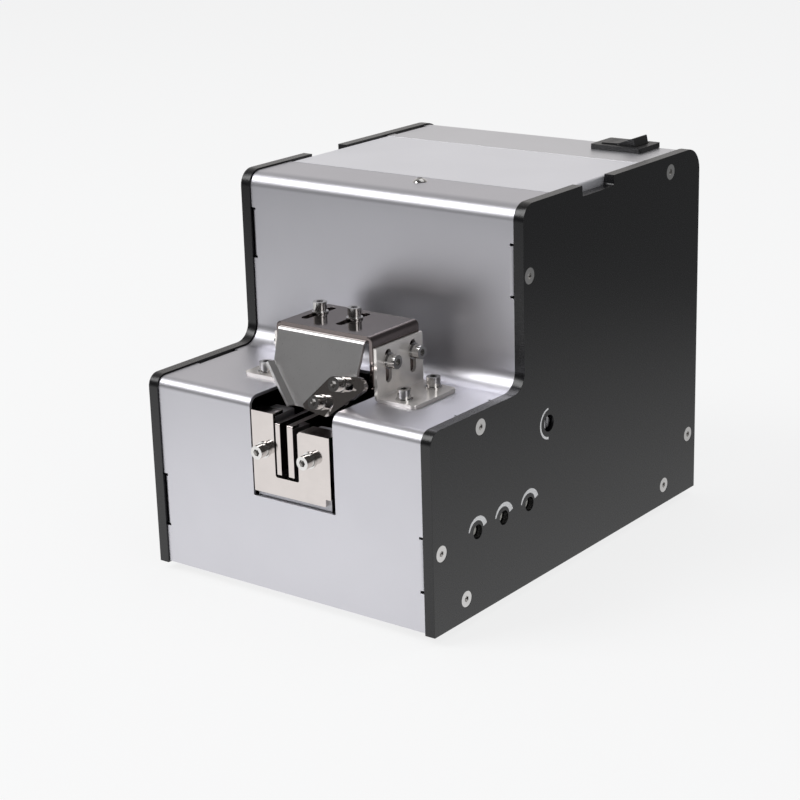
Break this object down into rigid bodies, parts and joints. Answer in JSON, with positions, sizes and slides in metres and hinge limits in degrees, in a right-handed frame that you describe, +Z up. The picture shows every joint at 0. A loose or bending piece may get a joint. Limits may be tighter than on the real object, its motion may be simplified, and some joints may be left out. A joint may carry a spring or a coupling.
{
  "type": "screw feeder",
  "caption": "Bench-top automatic screw feeder: stepped casing with a lift-off hopper lid, a rotating drum, vibrating rails and an adjustable polished pick-up front.",
  "frame": {"origin": "middle of the overall footprint, on the surface that the rubber feet stand on", "axes": "X runs across the width, +X towards the side with the trimmers; +Y runs from the pick-up front to the back; +Z is up"},
  "size_m": [0.123, 0.1766, 0.1412],
  "materials": {
    "side_plate": "satin black powder coat",
    "cover": "fine bead-blasted satin",
    "lid": "bright satin",
    "rear_cover": "fine satin",
    "polished_steel": "polished stainless",
    "guard_steel": "satin stainless",
    "screw_steel": "nickel-plated",
    "zinc_steel": "zinc-plated",
    "inner_steel": "milled",
    "spring_steel": "blued",
    "cast_aluminium": "milled",
    "black_plastic": "fine matt",
    "rubber": "matt",
    "board": "solder mask",
    "trimmer_blue": "moulded",
    "trimmer_white": "moulded",
    "brass": "machined",
    "copper": "enamelled winding",
    "laminated_iron": "varnished laminations",
    "bristle": "nylon bristle"
  },
  "bodies": {
    "casing": {"side_plate_left": "side_plate", "side_plate_right": "side_plate", "side_screws": "screw_steel", "clinch_nuts": "zinc_steel", "front_cover": "cover", "top_screw": "screw_steel", "rear_cover": "rear_cover", "base_plate": "zinc_steel", "rubber_feet": "rubber", "foot_bolts": "zinc_steel", "power_switch": "black_plastic", "dc_inlet": "black_plastic", "control_board": "board", "board_standoffs": "brass", "board_parts": "black_plastic", "trimmer_bodies": "trimmer_blue", "gate_guide": "cast_aluminium", "hopper_bin": "inner_steel", "drum_bearing": "inner_steel", "bulkhead": "zinc_steel", "gear_motor": "cast_aluminium", "motor_screws": "screw_steel", "spring_clamps_lower": "zinc_steel", "vibrator_base": "cast_aluminium", "magnet_core": "laminated_iron", "magnet_coil": "copper", "sweep_brush": "bristle", "locator_plate": "polished_steel", "locator_block": "cast_aluminium", "locator_screws": "screw_steel", "bracket_left": "polished_steel", "bracket_right": "polished_steel", "bracket_screws": "screw_steel"},
    "lid": {"hopper_lid": "lid"},
    "rocker": {"power_rocker": "black_plastic"},
    "trimmer_left": {"trimmer_1": "trimmer_white"},
    "trimmer_middle": {"trimmer_2": "trimmer_white"},
    "trimmer_right": {"trimmer_3": "trimmer_white"},
    "gate_knob": {"gate_shaft": "inner_steel"},
    "gate": {"gate_slide": "inner_steel"},
    "drum": {"feed_drum": "cast_aluminium", "drum_shaft": "inner_steel", "drum_collar": "spring_steel"},
    "pinion": {"motor_pinion": "brass", "motor_shaft": "inner_steel"},
    "rails": {"rail_carrier": "cast_aluminium", "rail_left": "polished_steel", "rail_right": "polished_steel", "rail_screws": "screw_steel", "spring_clamps_upper": "zinc_steel", "armature": "laminated_iron"},
    "front_leaf": {"leaf_spring_front": "spring_steel"},
    "rear_leaf": {"leaf_spring_rear": "spring_steel"},
    "hood_unit": {"hood": "polished_steel", "hood_side_screws": "screw_steel"},
    "guard": {"guard_plate": "guard_steel", "guard_screws": "screw_steel", "stop_screws": "screw_steel"},
    "stop": {"stop_plate": "polished_steel"}
  },
  "joints": [
    {"name": "lid_lift", "type": "slide", "parent": "casing", "child": "lid", "axis": [0, 0, 1], "range_m": [0, 0.06]},
    {"name": "power_rocker_tilt", "type": "hinge", "parent": "casing", "child": "rocker", "pos_m": [0.0377, 0.07296, 0.1376], "axis": [0, 1, 0], "range_deg": [0, 22]},
    {"name": "speed_trimmer", "type": "hinge", "parent": "casing", "child": "trimmer_left", "pos_m": [0.058, -0.06004, 0.0322], "axis": [1, 0, 0], "range_deg": [-135, 135]},
    {"name": "vibration_trimmer", "type": "hinge", "parent": "casing", "child": "trimmer_middle", "pos_m": [0.058, -0.04454, 0.0322], "axis": [1, 0, 0], "range_deg": [-135, 135]},
    {"name": "roller_trimmer", "type": "hinge", "parent": "casing", "child": "trimmer_right", "pos_m": [0.058, -0.02904, 0.0322], "axis": [1, 0, 0], "range_deg": [-135, 135]},
    {"name": "gate_turn", "type": "hinge", "parent": "casing", "child": "gate_knob", "pos_m": [0.04, -0.01654, 0.0579], "axis": [1, 0, 0], "range_deg": [0, 115]},
    {"name": "gate_drop", "type": "slide", "parent": "casing", "child": "gate", "axis": [0, 0, 1], "range_m": [-0.00602, 0]},
    {"name": "drum_spin", "type": "hinge", "parent": "casing", "child": "drum", "pos_m": [0, 0.02966, 0.069], "axis": [0, 1, 0], "continuous": true},
    {"name": "pinion_spin", "type": "hinge", "parent": "casing", "child": "pinion", "pos_m": [0.03677, 0.03866, 0.03815], "axis": [0, 1, 0], "continuous": true},
    {"name": "rail_vibration", "type": "slide", "parent": "casing", "child": "rails", "axis": [0, 1, 0], "range_m": [-0.0004, 0.0004], "stiffness_N_per_m": 4000},
    {"name": "front_leaf_flex", "type": "hinge", "parent": "casing", "child": "front_leaf", "pos_m": [-0.001, -0.06334, 0.014], "axis": [1, 0, 0], "range_deg": [-1.2, 1.2]},
    {"name": "rear_leaf_flex", "type": "hinge", "parent": "casing", "child": "rear_leaf", "pos_m": [-0.001, -0.02734, 0.014], "axis": [1, 0, 0], "range_deg": [-1.2, 1.2]},
    {"name": "hood_height", "type": "slide", "parent": "casing", "child": "hood_unit", "axis": [0, 0, 1], "range_m": [-0.0012, 0.0022]},
    {"name": "guard_depth", "type": "slide", "parent": "hood_unit", "child": "guard", "axis": [0, 1, 0], "range_m": [-0.0025, 0.002]},
    {"name": "stop_shift", "type": "slide", "parent": "guard", "child": "stop", "axis": [1, 0, 0], "range_m": [-0.0034, 0]}
  ],
  "couplings": [
    {"joint": "gate_turn", "follows": "gate_drop", "rad_per_m": -333.33},
    {"joint": "pinion_spin", "follows": "drum_spin", "ratio": -5},
    {"joint": "front_leaf_flex", "follows": "rail_vibration", "rad_per_m": -46.512},
    {"joint": "rear_leaf_flex", "follows": "rail_vibration", "rad_per_m": -46.512}
  ]
}
